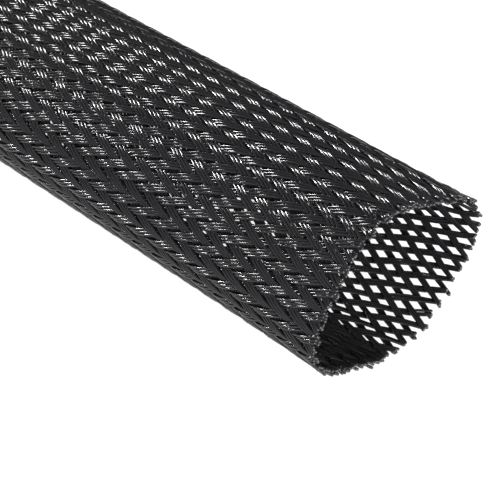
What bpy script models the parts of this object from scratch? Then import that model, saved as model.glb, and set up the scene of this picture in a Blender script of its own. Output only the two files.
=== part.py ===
"""One length of braided cable sleeve, lying on its side and slightly flattened by its own slackness.

Metres, +Z up. X runs along the sleeve, and the origin lies under the middle of its length,
on the surface that it rests on. The wall is as thick as the two crossing layers of filaments.
A plain grid of diamond openings stands for the open weave, whose own holes are far finer.
"""
import math

import bmesh
import bpy

# Length of stock, sold by the foot
LENGTH = 0.3048

# Oval body: a round sleeve of 19 mm across, pressed to an oval of the same girth
WIDTH = 0.0216
HEIGHT = 0.0167

# Two crossing layers of 0.25 mm filaments with a little air between them
WALL = 0.00064

# Depth by which the underside is pressed flat where it lies on a surface
SETTLE = 0.00012

# Cut mouth: the freed rim springs out at four soft corners and draws in between them
CORNER_RISE = 0.00058
CORNER_TURN = math.radians(16.2)
MOUTH_LEAN = 0.00013
MOUTH_DRAW_IN = 0.00008
MOUTH_FADE = 0.007

# Grid of diamonds: every second row is set over by half a step, and the underside stays whole
OPENINGS_ROUND = 12
OPENINGS_ALONG = 12
OPENING_LENGTH = 0.008
FACETS_ROUND = 4 * OPENINGS_ROUND

# Places of the extra rings that carry the shape of a mouth, from the cut inwards
MOUTH_RINGS = (0.0, 0.0015, 0.0033, 0.0056)

# Black polyester filament
SLEEVE_COLOUR = (0.017, 0.017, 0.019, 1.0)
SLEEVE_ROUGHNESS = 0.34


def mouth_rise(angle, distance):
    """Outward push of the rim at an angle of the section, fading with distance from the cut."""
    corners = CORNER_RISE * math.cos(4.0 * (angle - CORNER_TURN))
    lean = MOUTH_LEAN * math.cos(3.0 * angle)
    return (corners + lean - MOUTH_DRAW_IN) * math.exp(-distance / MOUTH_FADE)


def section_point(x, angle, inset):
    """Point of the oval section at x, moved inwards by inset along the oval's own normal."""
    half_width = WIDTH / 2.0
    half_height = HEIGHT / 2.0
    normal_y = math.cos(angle) / half_width
    normal_z = math.sin(angle) / half_height
    size = math.hypot(normal_y, normal_z)
    # The back mouth is the front one turned end for end
    front = mouth_rise(angle, LENGTH / 2.0 - x)
    back = mouth_rise(math.pi - angle, LENGTH / 2.0 + x)
    push = (front + back - inset) / size
    y = half_width * math.cos(angle) + push * normal_y
    z = half_height * math.sin(angle) + push * normal_z + half_height - SETTLE
    return (x, y, max(z, inset))


def opening_place(row):
    """Place along X of the middle of a row of openings."""
    return LENGTH * ((row + 0.5) / OPENINGS_ALONG - 0.5)


def stations():
    """Places along X: the rings of both mouths, and three rings for each row of openings."""
    back = [-LENGTH / 2.0 + ring for ring in MOUTH_RINGS]
    front = [LENGTH / 2.0 - ring for ring in reversed(MOUTH_RINGS)]
    places = []
    for row in range(OPENINGS_ALONG):
        middle = opening_place(row)
        places += [middle - OPENING_LENGTH / 2.0, middle, middle + OPENING_LENGTH / 2.0]
    return back + places + front


def angles():
    """Angles round the section, with one facet centred on the underside."""
    step = 2.0 * math.pi / FACETS_ROUND
    return [(number + 0.5) * step - math.pi / 2.0 for number in range(FACETS_ROUND)]


def opening_centres():
    """Ring and column of the middle of each diamond, four columns apart. A diamond in the last
    column would cut into the facet that the sleeve rests on, so there is none."""
    centres = set()
    for row in range(OPENINGS_ALONG):
        ring = len(MOUTH_RINGS) + 3 * row + 1
        first = 1 + 2 * (row % 2)
        centres.update((ring, column) for column in range(first, FACETS_ROUND - 1, 4))
    return centres


def skin(mesh, inset):
    """Rings of vertices of one face of the wall."""
    return [[mesh.verts.new(section_point(x, angle, inset)) for angle in angles()] for x in stations()]


def join_rings(mesh, first, second):
    """Band of quads between two rings of the same number of vertices."""
    for number in range(FACETS_ROUND):
        after = (number + 1) % FACETS_ROUND
        mesh.faces.new((first[number], first[after], second[after], second[number]))


def cover(mesh, rings, centres):
    """One face of the wall. Where a corner of a quad is the middle of a diamond, only the half
    that lies outside the diamond is kept."""
    for ring in range(len(rings) - 1):
        for column in range(FACETS_ROUND):
            after = (column + 1) % FACETS_ROUND
            corners = ((ring, column), (ring, after), (ring + 1, after), (ring + 1, column))
            kept = [rings[place][side] for place, side in corners if (place, side) not in centres]
            mesh.faces.new(kept)


def line_openings(mesh, outer, inner, centres):
    """Four small walls through the thickness, round each diamond."""
    for ring, column in sorted(centres):
        before = (column - 1) % FACETS_ROUND
        after = (column + 1) % FACETS_ROUND
        loop = ((ring - 1, column), (ring, after), (ring + 1, column), (ring, before))
        for number in range(4):
            one = loop[number]
            two = loop[(number + 1) % 4]
            near = (outer[one[0]][one[1]], outer[two[0]][two[1]])
            far = (inner[two[0]][two[1]], inner[one[0]][one[1]])
            mesh.faces.new(near + far)


def drop_centres(mesh, rings, centres):
    """Take away the vertices that no face uses."""
    for ring, column in sorted(centres):
        mesh.verts.remove(rings[ring][column])


def sleeve_mesh():
    """Closed solid of the wall: outer face, inner face, the two cut ends and the openings."""
    mesh = bmesh.new()
    centres = opening_centres()
    outer = skin(mesh, 0.0)
    inner = skin(mesh, WALL)
    cover(mesh, outer, centres)
    cover(mesh, inner, centres)
    line_openings(mesh, outer, inner, centres)
    join_rings(mesh, inner[0], outer[0])
    join_rings(mesh, outer[-1], inner[-1])
    drop_centres(mesh, outer, centres)
    drop_centres(mesh, inner, centres)
    bmesh.ops.recalc_face_normals(mesh, faces=mesh.faces)
    data = bpy.data.meshes.new("braided_sleeve")
    mesh.to_mesh(data)
    mesh.free()
    data.shade_smooth()
    data.set_sharp_from_angle(angle=math.radians(40.0))
    return data


def filament_material():
    """Black, slightly glossy polyester."""
    material = bpy.data.materials.new("black_polyester")
    material.use_nodes = True
    shader = material.node_tree.nodes["Principled BSDF"]
    shader.inputs["Base Color"].default_value = SLEEVE_COLOUR
    shader.inputs["Roughness"].default_value = SLEEVE_ROUGHNESS
    shader.inputs["Metallic"].default_value = 0.0
    return material


def build_sleeve():
    """The sleeve as one object, named as its node."""
    data = sleeve_mesh()
    data.materials.append(filament_material())
    sleeve = bpy.data.objects.new("braided_sleeve", data)
    bpy.context.scene.collection.objects.link(sleeve)
    return sleeve


def clear_scene():
    """Remove every object that the open file holds."""
    for item in list(bpy.data.objects):
        bpy.data.objects.remove(item, do_unlink=True)


clear_scene()
build_sleeve()
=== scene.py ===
# %% [markdown]
# # A braided cable sleeve, filament by filament
# This lesson dresses one straight length of black expandable sleeve. On the real thing,
# plastic filaments are laid side by side in flat bands, and the bands are braided into a tube:
# half of them wind one way, half the other, and each goes over two and under two.
# A texture on a tube could fake that from afar, but it would have no holes to see through,
# no ragged cut end and no true highlights, so every filament is made as a thin tube.

import math

import bpy
import numpy as np
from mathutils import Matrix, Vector


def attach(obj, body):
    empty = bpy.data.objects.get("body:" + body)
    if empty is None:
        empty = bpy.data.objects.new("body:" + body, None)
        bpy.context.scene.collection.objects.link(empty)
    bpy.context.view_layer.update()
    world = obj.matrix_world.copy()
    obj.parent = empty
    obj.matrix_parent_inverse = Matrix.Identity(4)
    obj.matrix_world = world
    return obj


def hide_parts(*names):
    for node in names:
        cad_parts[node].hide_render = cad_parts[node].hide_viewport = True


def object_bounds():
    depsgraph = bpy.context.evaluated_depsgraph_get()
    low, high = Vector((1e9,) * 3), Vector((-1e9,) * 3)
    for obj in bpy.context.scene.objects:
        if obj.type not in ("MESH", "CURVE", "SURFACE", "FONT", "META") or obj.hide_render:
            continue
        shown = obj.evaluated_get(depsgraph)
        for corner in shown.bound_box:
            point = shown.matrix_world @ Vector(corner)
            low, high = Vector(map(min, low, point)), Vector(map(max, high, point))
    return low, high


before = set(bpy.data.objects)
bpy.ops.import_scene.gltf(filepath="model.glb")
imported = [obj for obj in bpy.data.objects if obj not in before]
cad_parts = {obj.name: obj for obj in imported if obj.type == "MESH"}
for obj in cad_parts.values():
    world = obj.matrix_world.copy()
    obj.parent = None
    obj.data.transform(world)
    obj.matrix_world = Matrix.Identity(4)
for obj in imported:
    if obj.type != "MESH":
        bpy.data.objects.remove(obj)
cad_low, cad_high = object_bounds()
print("frame box in mm:", [round(1000.0 * v, 2) for v in (cad_high - cad_low)])

# %% [markdown]
# ## The oval wall
# The braid needs a surface to lie on. The wall is an oval tube whose freed mouth springs out
# at four soft corners, which dies away a few millimetres into the sleeve. Any place on it is
# named by two numbers, how far along the sleeve and which share of the way round, so one
# function turns whole arrays of such pairs into points. The same oval carries the solid frame.

# %% Sizes of the oval wall
MM = 0.001
LENGTH = cad_high.x - cad_low.x
WIDTH = 21.6 * MM
HEIGHT = 16.7 * MM
WALL = 0.64 * MM

# Depth by which the underside is pressed flat on the table
SETTLE = 0.12 * MM

# The freed rim: four soft corners, a small lean, a little drawing in, and how far they reach
CORNER_RISE = 0.58 * MM
CORNER_TURN = math.radians(16.2)
MOUTH_LEAN = 0.13 * MM
MOUTH_DRAW_IN = 0.08 * MM
MOUTH_FADE = 7.0 * MM

TURN = 2.0 * math.pi
CHORDS = 2880


def mouth_rise(angle, distance):
    """Outward push of the rim: a wave with four crests round the section plus a small one with
    three, less a little drawing in, all shrinking by e for each MOUTH_FADE away from the cut."""
    corners = CORNER_RISE * np.cos(4.0 * (angle - CORNER_TURN))
    lean = MOUTH_LEAN * np.cos(3.0 * angle)
    return (corners + lean - MOUTH_DRAW_IN) * np.exp(-distance / MOUTH_FADE)


def oval_angles():
    """Angle of the oval for each share of its girth: the arc lengths of short chords are added
    up, and the table is then read the other way round."""
    angle = np.linspace(0.0, TURN, CHORDS + 1)
    y = WIDTH / 2.0 * np.cos(angle)
    z = HEIGHT / 2.0 * np.sin(angle)
    arc = np.concatenate([[0.0], np.cumsum(np.hypot(np.diff(y), np.diff(z)))])
    return angle, arc


ANGLES, ARCS = oval_angles()
GIRTH = ARCS[-1]
print("girth in mm:", round(GIRTH / MM, 2))


# %% A point of the wall
def wall_point(x, share, lift):
    """Point of the wall at x and at a share of the girth, raised by lift above the middle of the
    wall along the oval's normal. Nothing goes below the flat underside."""
    angle = np.interp(share % 1.0, ARCS / GIRTH, ANGLES)
    normal_y = np.cos(angle) / (WIDTH / 2.0)
    normal_z = np.sin(angle) / (HEIGHT / 2.0)
    size = np.hypot(normal_y, normal_z)
    normal_y, normal_z = normal_y / size, normal_z / size
    inset = WALL / 2.0 - lift
    front = mouth_rise(angle, LENGTH / 2.0 - x)
    back = mouth_rise(math.pi - angle, LENGTH / 2.0 + x)
    push = front + back - inset
    y = WIDTH / 2.0 * np.cos(angle) + push * normal_y
    z = HEIGHT / 2.0 * np.sin(angle) + push * normal_z + HEIGHT / 2.0 - SETTLE
    point = np.stack([x, y, np.maximum(z, inset)], axis=-1)
    normal = np.stack([np.zeros_like(x), normal_y, normal_z], axis=-1)
    return point, normal


# %% [markdown]
# ## The rule of the braid
# Seen on the unrolled wall, a band that winds one way climbs by one band width while it runs
# one pitch along the sleeve, and a band of the other family sinks by as much. Where they cross,
# which one lies on top depends only on how far round the sleeve the crossing is, which is why
# such a braid shows long columns of chevrons. So the height of a band is a wave of its place
# round the sleeve: plus for one family, minus for the other, with flattened crests. The three
# filaments of a band rise and sink along the edges of the bands they cross, which run the
# other way, so a filament beside the middle is ahead in the wave by a share of its distance.

# %% Sizes of the braid
BANDS = 54
FILAMENTS = 3
FILAMENT = 0.25 * MM
PITCH = 2.69 * MM
CREST = 0.19 * MM
CREST_FLATNESS = 0.7

# How much of its distance beside the middle a filament is ahead in the wave: at one half the
# band lies flat on the bands it crosses, and beyond that it rolls as it rises and sinks
AHEAD = 0.66

# Place of the crossings along and round the sleeve. The middle lines of the crossing bands lie
# a quarter of a band to either side of a crest
PHASE_ALONG = 2.365 * MM
PHASE_ROUND = 0.25
CROSSING_PHASE = 0.25


def over_under(band):
    """Height wave of a place round the sleeve, given in band numbers: a sine with a period of
    two bands, flattened by a hyperbolic tangent."""
    return np.tanh(CREST_FLATNESS * np.sin(math.pi * band)) / math.tanh(CREST_FLATNESS)


# %% [markdown]
# ## How the bands crowd and part
# A sleeve that has been squeezed and handled is never even. Here the bands lie open on the far
# side and closer on the near side, and a few are crowded together underneath. Moving bands one
# by one would be endless work, so a smooth function says where band number n lies. A band
# number may be a fraction, and that is how a band finds its way between the others.

# %% Places of the bands round the sleeve
# Where band 0 starts, and the smooth sways, each with its number of waves round the sleeve, its
# size and the turn at which it is highest
BAND_START = 0.13524
SWAYS = ((1, 0.01, 0.1185), (2, 0.01079, -0.0604), (3, 0.00041, -0.0233), (4, 0.00155, 0.041))

# Some bands of the underside are crowded together, and those beside them stand apart
CROWD_TURN = 0.64
CROWD_SIZE = 0.015
CROWD_NARROWNESS = 22.0


def bell_round(turns, narrowness):
    """Bell that goes round the sleeve without a seam: e to the power of a cosine less one."""
    return np.exp(narrowness * (np.cos(TURN * turns) - 1.0))


def band_share(band):
    """Share of the girth for a band number: even steps plus the sways, each a cosine, less a
    bell that crowds the bands on its one side and parts them on the other."""
    even = band / BANDS
    sways = sum(size * np.cos(waves * TURN * (even - turn)) for waves, size, turn in SWAYS)
    return BAND_START + even + sways - CROWD_SIZE * bell_round(even - CROWD_TURN, CROWD_NARROWNESS)


edges = np.arange(BANDS + 1.0)
steps_round = np.diff(band_share(edges)) * GIRTH / MM
print("closest band step in mm:", round(steps_round.min(), 3))
print("widest band step in mm:", round(steps_round.max(), 3))

# %% [markdown]
# ## A mouth pulled out of shape
# Cutting and handling pull the mouth askew: the far side is drawn longer than the near side,
# and on one side the crossings trail towards the cut. Moving filaments one by one would part
# them from those they cross. So the distance along the sleeve is bent before anything is
# placed, by one rule that both families follow, and their crossings stay together.

# %% How the mouth is pulled out of shape
# The far side is drawn longer than the near side at the mouth
STRETCH_MEAN = 0.07
STRETCH_SWING = 0.20
STRETCH_SHARE = 0.91
STRETCH_FADE = 8.5 * MM

# Lag of the crossings towards the mouth, greatest on one side and dying away inwards
LAG = 1.3 * MM
LAG_SHARE = 0.03
LAG_NARROWNESS = 8.0
LAG_FADE = 25.0 * MM


def lagging(along, share):
    """Shift of the crossings towards the mouth: a bell round the sleeve that falls by e for each
    LAG_FADE inwards."""
    return LAG * bell_round(share - LAG_SHARE, LAG_NARROWNESS) * np.exp(-along / LAG_FADE)


def stretched(along, share):
    """Distance from the front mouth after the braid is drawn longer there: the drawing out is
    strongest at the cut and on one side, and its slope falls by e each STRETCH_FADE. The rest
    of the length gives way evenly, so the back cut stays where it is."""
    draw = STRETCH_MEAN + STRETCH_SWING * np.cos(TURN * (share - STRETCH_SHARE))
    longer = draw * STRETCH_FADE * (1.0 - np.exp(-np.maximum(along, 0.0) / STRETCH_FADE))
    return along + longer * (1.0 - along / LENGTH)


# %% [markdown]
# ## From a path to a tube
# A filament is a path with a small ring carried along it. At each step the ring stands across
# the path, between the wall's normal and the direction square to both. All the filaments of a
# piece are worked out together, as one array with the axes filament, step and corner of ring.
# Five corners are enough for a tube that is a quarter of a millimetre thick. A pentagon is
# narrower than its circle, so its radius is raised until the tube is as wide as the filament.

# %% Rings carried along paths
CORNERS = 5
TUBE_RADIUS = FILAMENT / 2.0 / math.sin(TURN / CORNERS)


def tubes(path, normal, radius):
    """Vertices and faces of closed tubes along paths. Each ring is the path's point plus the
    radius times the cosine and sine of its corner angles along the normal and the side."""
    tangent = np.gradient(path, axis=1)
    tangent /= np.linalg.norm(tangent, axis=-1, keepdims=True)
    normal = normal - tangent * np.sum(normal * tangent, axis=-1, keepdims=True)
    normal /= np.linalg.norm(normal, axis=-1, keepdims=True)
    side = np.cross(tangent, normal)
    corner = TURN * np.arange(CORNERS) / CORNERS
    across = normal[:, :, None, :] * np.cos(corner)[None, None, :, None]
    across = across + side[:, :, None, :] * np.sin(corner)[None, None, :, None]
    rings = path[:, :, None, :] + radius[:, :, None, None] * across
    count, steps = path.shape[:2]
    number = np.arange(count * steps * CORNERS).reshape(count, steps, CORNERS)
    after = np.roll(number, -1, axis=2)
    quads = np.stack([number[:, :-1], after[:, :-1], after[:, 1:], number[:, 1:]], axis=-1)
    first = number[:, 0, ::-1]
    last = number[:, -1]
    return rings.reshape(-1, 3), quads.reshape(-1, 4), np.concatenate([first, last])


# %% Arrays written into a mesh
def mesh_object(name, points, *polygons):
    """Mesh object from an array of points and arrays of polygons, each array with its own
    number of corners, written into the mesh in whole columns."""
    mesh = bpy.data.meshes.new(name)
    corners = np.concatenate([p.reshape(-1) for p in polygons]).astype(np.int32)
    sizes = np.concatenate([np.full(len(p), p.shape[1]) for p in polygons])
    starts = np.concatenate([[0], np.cumsum(sizes)[:-1]]).astype(np.int32)
    mesh.vertices.add(len(points))
    mesh.vertices.foreach_set("co", points.astype(np.float32).reshape(-1))
    mesh.loops.add(len(corners))
    mesh.loops.foreach_set("vertex_index", corners)
    mesh.polygons.add(len(sizes))
    mesh.polygons.foreach_set("loop_start", starts)
    mesh.update(calc_edges=True)
    mesh.validate()
    mesh.shade_smooth()
    made = bpy.data.objects.new(name, mesh)
    bpy.context.scene.collection.objects.link(made)
    return made


# %% [markdown]
# ## Where the rings stand
# Rings are spent where they are seen. Near the front mouth a filament has four rings for each
# pitch, and so has the back end. Between them two for each pitch are enough, if they stand
# exactly where the filament crosses its neighbours, so there each filament slides its rings
# onto its own crossings.

# %% Steps along a filament
FRONT_REACH = 68.0 * MM
BACK_REACH = 12.0 * MM
RINGS_FINE = 4
RINGS_COARSE = 2
SLIDE_RAMP = 8.0 * MM

# Distance of the second ring from a cut, which rounds the tip
TIP = 0.09 * MM


def steps_along():
    """Distances from the front cut, close together at both ends, and how far each may slide:
    fully in the plain middle, not at all near the ends."""
    fine = PITCH / RINGS_FINE
    front = np.concatenate([[0.0, TIP], np.arange(fine, FRONT_REACH, fine)])
    back = LENGTH - np.concatenate([[0.0, TIP], np.arange(fine, BACK_REACH, fine)])[::-1]
    middle = np.arange(front[-1], back[0], PITCH / RINGS_COARSE)[1:]
    steps = np.concatenate([front, middle, back])
    after = (steps - FRONT_REACH) / SLIDE_RAMP
    before = (LENGTH - BACK_REACH - steps) / SLIDE_RAMP
    return steps, np.clip(np.minimum(after, before), 0.0, 1.0)


ALONG, SLIDE = steps_along()
print("rings on one filament:", len(ALONG))


# %% Rings on the crossings
def onto_crossings(hand, ahead):
    """Distances from the front cut of a filament's rings. The remainder of a division by the
    coarse step says how far a ring is off the nearest crossing, and it slides by that much."""
    crossing = hand * (PHASE_ROUND - CROSSING_PHASE + ahead) * PITCH - PHASE_ALONG
    step = PITCH / RINGS_COARSE
    slide = (crossing + step / 2.0) % step - step / 2.0
    return ALONG + SLIDE * slide


# %% [markdown]
# ## Small unevenness
# No braid is perfect: bands wander a little, filaments close up and part, and some floats rise
# higher than others. Smooth random waves do that. Each is a sum of a few sines with random
# phases from a seeded generator, so every run gives the same sleeve.

# %% Smooth random waves
# Another whole number gives another sleeve of the same kind
SEED = 54
chance = np.random.default_rng(SEED)

# Drift of a band round the sleeve in band widths, play of a filament in its band, and change of
# the crests' height as a share of it, each with its wavelengths
DRIFT = 0.022
DRIFT_WAVES = (31.0 * MM, 17.0 * MM, 11.0 * MM)
PLAY = 0.006 * MM
PLAY_WAVES = (13.0 * MM, 7.0 * MM)
LIVELINESS = 0.05
LIVELY_WAVES = (19.0 * MM, 9.0 * MM)


def wander(shape, lengths, amount):
    """Random smooth curves over ALONG, one for each entry of shape: sines of the given
    wavelengths with random phases, added up and scaled to amount."""
    total = np.zeros((*shape, len(ALONG)))
    for length in lengths:
        phase = chance.uniform(0.0, TURN, size=(*shape, 1))
        total += np.sin(TURN * ALONG / length + phase)
    return total * amount / math.sqrt(len(lengths))


# %% [markdown]
# ## The cut ends
# A cut leaves some filaments longer than others. They stray a little, the heat of the cut
# swells their tips, and where the braid is open the three ends of a band draw together to a
# point. Cutting the finished tubes with a solid would leave every end alike and square. So each
# of these is a size times a weight that fades from the cut inwards.

# %% Sizes of the cut ends
# How far inwards a cut is felt, how uneven it is, and how far the ends stray
END_FADE = 1.2 * MM
END_UNEVEN = 0.06 * MM
END_STRAY = 0.035 * MM

# Swelling as a share of the radius, how far it reaches, and how small the very tip is
SWELL = 0.22
SWELL_FADE = 0.35 * MM
TIP_SIZE = 0.62


def near_cut(fade):
    """A weight that is 1 at both cuts and falls by e for each fade away from them."""
    return np.exp(-ALONG / fade) + np.exp(-(LENGTH - ALONG) / fade)


def chance_each(count, for_band, for_filament):
    """Random lengths, one for each filament of count bands: a share that the whole band has in
    common, plus one of the filament's own, both from a bell curve of the given width."""
    common = chance.normal(0.0, for_band, size=(count, 1, 1))
    return common + chance.normal(0.0, for_filament, size=(count, FILAMENTS, 1))


def cut_ends(count):
    """How uneven the ends of count bands are: by how much each filament falls short of the cut
    or passes it, and a sideways and an outward stray, all fading from the cut inwards."""
    short = chance_each(count, 2.0 * END_UNEVEN, END_UNEVEN)
    sideways = chance_each(count, END_STRAY, END_STRAY)
    outward = chance.normal(0.0, END_STRAY, size=(count, FILAMENTS, 1))
    weight = near_cut(END_FADE)
    return short * weight, sideways * weight, outward * weight


def tube_radius():
    """Radius of a filament along its length: even, a little swollen where the hot cut melted it,
    and drawn in at the very tip so that the end is rounded."""
    radius = TUBE_RADIUS * (1.0 + SWELL * near_cut(SWELL_FADE))
    radius[[0, -1]] *= TIP_SIZE
    return radius


print("plain radius in mm:", round(TUBE_RADIUS / MM, 3))
print("largest radius in mm:", round(tube_radius().max() / MM, 3))

# %% [markdown]
# ## Bands of filaments
# Now the rules come together. A band follows a straight line on the unrolled sleeve, its
# filaments lie beside that line, closer or farther apart from place to place, and the wave
# lifts and lowers them. The wall turns all of it into points in space. The filaments of a
# family are joined into a few large pieces, because hundreds of objects would be slow to handle.

# %% Spacing in a band
# Shares of a filament's thickness by which the filaments of a band stand apart on the near
# side, close up on the far side near the mouth, and stand apart on the far side farther in
NEAR_SPREAD = 0.10
FAR_SQUEEZE = 0.17
FAR_SPREAD = 0.4
SQUEEZE_FADE = 26.0 * MM
SQUEEZE_POWER = 4

# By how much more the ends draw together where the braid is open, and how far that reaches
GATHER = 0.40
GATHER_FADE = 1.3 * MM


def filament_spacing(along, share):
    """Spacing of the filaments of a band, as a share of their thickness: a blend of the near and
    the far side by a cosine round the sleeve. The far side changes over along a steep bell, e to
    the power of minus the distance to the fourth, and gathers its ends at the cut."""
    far = 0.5 + 0.5 * np.cos(TURN * (share - STRETCH_SHARE))
    mouth = np.exp(-((along / SQUEEZE_FADE) ** SQUEEZE_POWER))
    far_side = FAR_SPREAD * (1.0 - mouth) - FAR_SQUEEZE * mouth - GATHER * near_cut(GATHER_FADE)
    return 1.0 + NEAR_SPREAD * (1.0 - far) + far_side * far


# %% Paths of the filaments
def band_paths(numbers, hand):
    """Paths of the filaments of the bands with the given numbers. hand is 1 for the family that
    climbs towards the front mouth and -1 for the other. Returns points and wall normals."""
    numbers = np.asarray(numbers, dtype=float)[:, None, None]
    count = len(numbers)
    slot = (np.arange(FILAMENTS) - (FILAMENTS - 1) / 2.0)[None, :, None]
    slant = math.hypot(1.0, GIRTH / BANDS / PITCH)
    offset = slot * FILAMENT * slant
    ahead = AHEAD * offset / (GIRTH / BANDS)
    along = onto_crossings(hand, ahead)
    short, sideways, outward = cut_ends(count)
    drift = wander((count, 1), DRIFT_WAVES, DRIFT)
    play = wander((count, FILAMENTS), PLAY_WAVES, PLAY)
    lively = 1.0 + wander((count, FILAMENTS), LIVELY_WAVES, LIVELINESS)
    centre = numbers - hand * (along + PHASE_ALONG) / PITCH + PHASE_ROUND
    centre = centre - hand * lagging(along, band_share(centre)) / PITCH
    wave = hand * over_under(centre + ahead)
    beside = offset * filament_spacing(along, band_share(centre)) + play + sideways
    share = band_share(centre + drift) + beside / GIRTH
    x = LENGTH / 2.0 - stretched(along, share) - short
    point, normal = wall_point(x, share, CREST * wave * lively + outward)
    shape = (-1, len(ALONG), 3)
    return point.reshape(shape), normal.reshape(shape)


# %% One piece of the braid
def make_bands(name, numbers, hand):
    """One piece of the braid: neighbouring bands of one family."""
    path, normal = band_paths(numbers, hand)
    radius = np.broadcast_to(tube_radius(), path.shape[:2])
    points, sides, ends = tubes(path, normal, radius)
    piece = mesh_object(name, points, sides, ends)
    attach(piece, "root")
    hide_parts("braided_sleeve")
    triangles = 2 * len(sides) + (CORNERS - 2) * len(ends)
    print(name, "triangles:", triangles)
    return piece


# %% [markdown]
# ## Black polyester
# The filaments are drawn polyester: nearly black, clear-skinned and smooth, so most of what is
# seen is reflection. A fine streak along the sleeve makes some places a little duller, as
# handling does. One small class lets the shader maths be written as plain expressions.

# %% A small language for shader nodes
class Value:
    """A socket that can be added, subtracted and multiplied; each operator adds a Math node."""

    def __init__(self, tree, socket):
        self.tree = tree
        self.socket = socket

    def maths(self, operation, first, second):
        """The Math node for one operator, with its result as a new Value."""
        node = self.tree.add("ShaderNodeMath", {"operation": operation}, {0: first, 1: second})
        return Value(self.tree, node.outputs[0])

    def __add__(self, other):
        return self.maths("ADD", self, other)

    def __radd__(self, other):
        return self.maths("ADD", other, self)

    def __sub__(self, other):
        return self.maths("SUBTRACT", self, other)

    def __rsub__(self, other):
        return self.maths("SUBTRACT", other, self)

    def __mul__(self, other):
        return self.maths("MULTIPLY", self, other)

    def __rmul__(self, other):
        return self.maths("MULTIPLY", other, self)


class Shader:
    """A material's node tree with one method that adds any node."""

    def __init__(self, name):
        self.material = bpy.data.materials.new(name)
        self.material.use_nodes = True
        self.nodes = self.material.node_tree.nodes
        self.links = self.material.node_tree.links
        self.surface = self.nodes["Principled BSDF"]

    def put(self, socket, value):
        """Set a socket to a number or a colour, or link it to a Value."""
        if isinstance(value, Value):
            self.links.new(value.socket, socket)
        else:
            socket.default_value = value

    def add(self, kind, settings, inputs):
        """Add a node, set its settings first, then fill its sockets."""
        node = self.nodes.new(kind)
        for key, value in settings.items():
            setattr(node, key, value)
        for key, value in inputs.items():
            self.put(node.inputs[key], value)
        return node

    def finish(self, **values):
        """Fill sockets of the Principled BSDF, named with underscores for spaces."""
        for key, value in values.items():
            self.put(self.surface.inputs[key.replace("_", " ")], value)
        return self.material


# %% The filament's material
FILAMENT_BLACK = (0.013, 0.013, 0.014, 1.0)
SMOOTHEST = 0.12
STREAK_DULLING = 0.06
POLYESTER_IOR = 1.47

# Streaks for each metre: few along the sleeve, many across it
STREAKS = (300.0, 2600.0, 2600.0)


def filament_material():
    """Clear-skinned black whose roughness is the smoothest value plus the streak times a small
    share. The streak is a noise on object coordinates, squeezed across the sleeve."""
    shade = Shader("black_polyester")
    place = Value(shade, shade.add("ShaderNodeTexCoord", {}, {}).outputs["Object"])
    squeezed = shade.add("ShaderNodeMapping", {}, {"Vector": place, "Scale": STREAKS})
    vector = Value(shade, squeezed.outputs[0])
    noise = shade.add("ShaderNodeTexNoise", {}, {"Vector": vector, "Scale": 1.0, "Detail": 2.0})
    streak = Value(shade, noise.outputs[0])
    return shade.finish(
        Base_Color=FILAMENT_BLACK,
        Roughness=SMOOTHEST + STREAK_DULLING * streak,
        IOR=POLYESTER_IOR,
    )


polyester = filament_material()
print("nodes in the filament's material:", len(polyester.node_tree.nodes))

# %% Make the braid
GROUPS = 3


def make_family(name, hand):
    """All bands of one family, in GROUPS pieces."""
    size = BANDS // GROUPS
    made = []
    for group in range(GROUPS):
        numbers = np.arange(group * size, (group + 1) * size)
        piece = make_bands(f"{name}_{group + 1}", numbers, hand)
        piece.data.materials.append(polyester)
        made.append(piece)
    return made


braid = make_family("climbing_bands", 1) + make_family("falling_bands", -1)
print("pieces of the braid:", len(braid))

# %% [markdown]
# ## Table
# The sleeve lies on a plain white table. An evenly white ground is hard to get by lighting
# alone, because close lamps light it unevenly and the sleeve throws a shadow on it. So most of
# the table's white is its own glow and only a little is reflected, which keeps the shadow pale.

# %% Make the table
TABLE_REACH = 3.0
TABLE_GREY = (0.1, 0.1, 0.1, 1.0)
TABLE_ROUGHNESS = 0.9
TABLE_GLOW = 0.95
WHITE = (1.0, 1.0, 1.0, 1.0)

# The top lies just below the lowest filament
TABLE_TOP = -0.05 * MM


def make_table():
    """One square face, facing up, with a glowing material."""
    corners = TABLE_REACH * np.array([(-1.0, -1.0), (1.0, -1.0), (1.0, 1.0), (-1.0, 1.0)])
    points = np.column_stack([corners, np.full(4, TABLE_TOP)])
    made = mesh_object("table", points, np.array([[0, 1, 2, 3]]))
    shade = Shader("white_table")
    made.data.materials.append(
        shade.finish(
            Base_Color=TABLE_GREY,
            Roughness=TABLE_ROUGHNESS,
            Emission_Color=WHITE,
            Emission_Strength=TABLE_GLOW,
        )
    )
    return made


table = make_table()
print("table side in m:", 2.0 * TABLE_REACH)

# %% [markdown]
# ## Light
# Smooth filaments show their lamps as short bright lines, and the smaller the lamp, the crisper
# the line. Two small softboxes stand on the left, the key high and the other low, where it
# reaches the near flank. A broad one faces the mouth and lights the inside, under a faint sky.
# One large lamp would be simpler, but its lines would be long and soft.

# %% Lamps and sky
LIT_SPOT = Vector((LENGTH / 2.0 - 20.0 * MM, 0.0, HEIGHT))
LAMP_DISTANCE = 1.2
SKY_STRENGTH = 0.08

# Name, way from the lit spot to the lamp, side in metres and power in watts
SOFTBOXES = (
    ("key_softbox", (-0.74, 0.08, 0.67), 0.18, 13.5),
    ("low_softbox", (-0.88, -0.27, 0.38), 0.12, 10.0),
    ("fill_softbox", (0.93, -0.28, 0.24), 0.60, 46.0),
)


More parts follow.
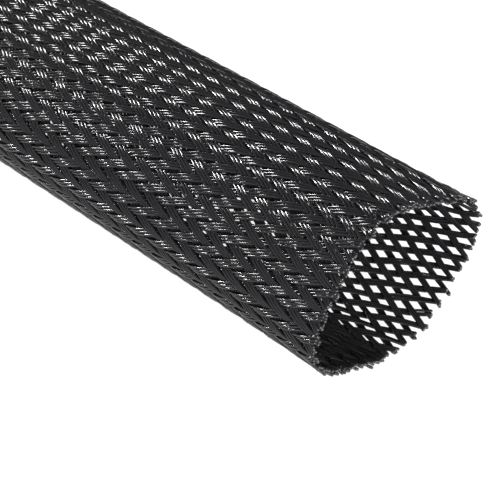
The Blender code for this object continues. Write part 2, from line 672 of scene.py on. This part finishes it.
def add_softbox(name, way, side, power):
    """Square area lamp in the direction way from the lit spot, facing that spot."""
    data = bpy.data.lights.new(name, "AREA")
    data.shape = "SQUARE"
    data.size = side
    data.energy = power
    lamp = bpy.data.objects.new(name, data)
    toward = Vector(way).normalized()
    lamp.location = LIT_SPOT + toward * LAMP_DISTANCE
    lamp.rotation_mode = "QUATERNION"
    lamp.rotation_quaternion = (-toward).to_track_quat("-Z", "Y")
    bpy.context.scene.collection.objects.link(lamp)
    print(name, "stands", round(lamp.location.z, 2), "m above the table")


def set_sky(strength):
    """Even white light from all round."""
    world = bpy.data.worlds.new("studio_white")
    world.use_nodes = True
    background = world.node_tree.nodes["Background"]
    background.inputs["Color"].default_value = WHITE
    background.inputs["Strength"].default_value = strength
    bpy.context.scene.world = world


set_sky(SKY_STRENGTH)
for softbox in SOFTBOXES:
    add_softbox(*softbox)

# %% [markdown]
# ## Camera
# The picture looks down past the open mouth along the sleeve. The camera is close, so the mouth
# is large and the sleeve narrows behind it. Its place is given from the point on the table
# under the mouth, and its direction by two angles, one that turns it round and one that tips
# it down. A full matrix would say the same, but few numbers are easier to fit to a picture.

# %% Place the camera
MOUTH = LENGTH / 2.0
EYE = Vector((MOUTH + 65.16 * MM, -84.59 * MM, 96.67 * MM))
EYE_YAW = math.radians(134.58)
EYE_PITCH = math.radians(-38.59)
LENS = 114.99
SENSOR = 36.0
NEAREST = 0.005
FARTHEST = 20.0


def looking(yaw, pitch):
    """Direction for a turn round the vertical and a tip out of the level: the level part is the
    cosine of the tip, spread over X and Y by the turn, and the upright part is its sine."""
    level = math.cos(pitch)
    return Vector((math.cos(yaw) * level, math.sin(yaw) * level, math.sin(pitch)))


def add_camera():
    """The scene's camera, with its up side kept upright."""
    data = bpy.data.cameras.new("camera")
    data.sensor_width = SENSOR
    data.lens = LENS
    data.clip_start = NEAREST
    data.clip_end = FARTHEST
    camera = bpy.data.objects.new("camera", data)
    camera.location = EYE
    camera.rotation_mode = "QUATERNION"
    camera.rotation_quaternion = looking(EYE_YAW, EYE_PITCH).to_track_quat("-Z", "Y")
    bpy.context.scene.collection.objects.link(camera)
    bpy.context.scene.camera = camera


add_camera()
bpy.context.scene.view_settings.view_transform = "Standard"
print("camera to mouth in mm:", round((EYE - Vector((MOUTH, 0.0, HEIGHT / 2.0))).length / MM, 1))
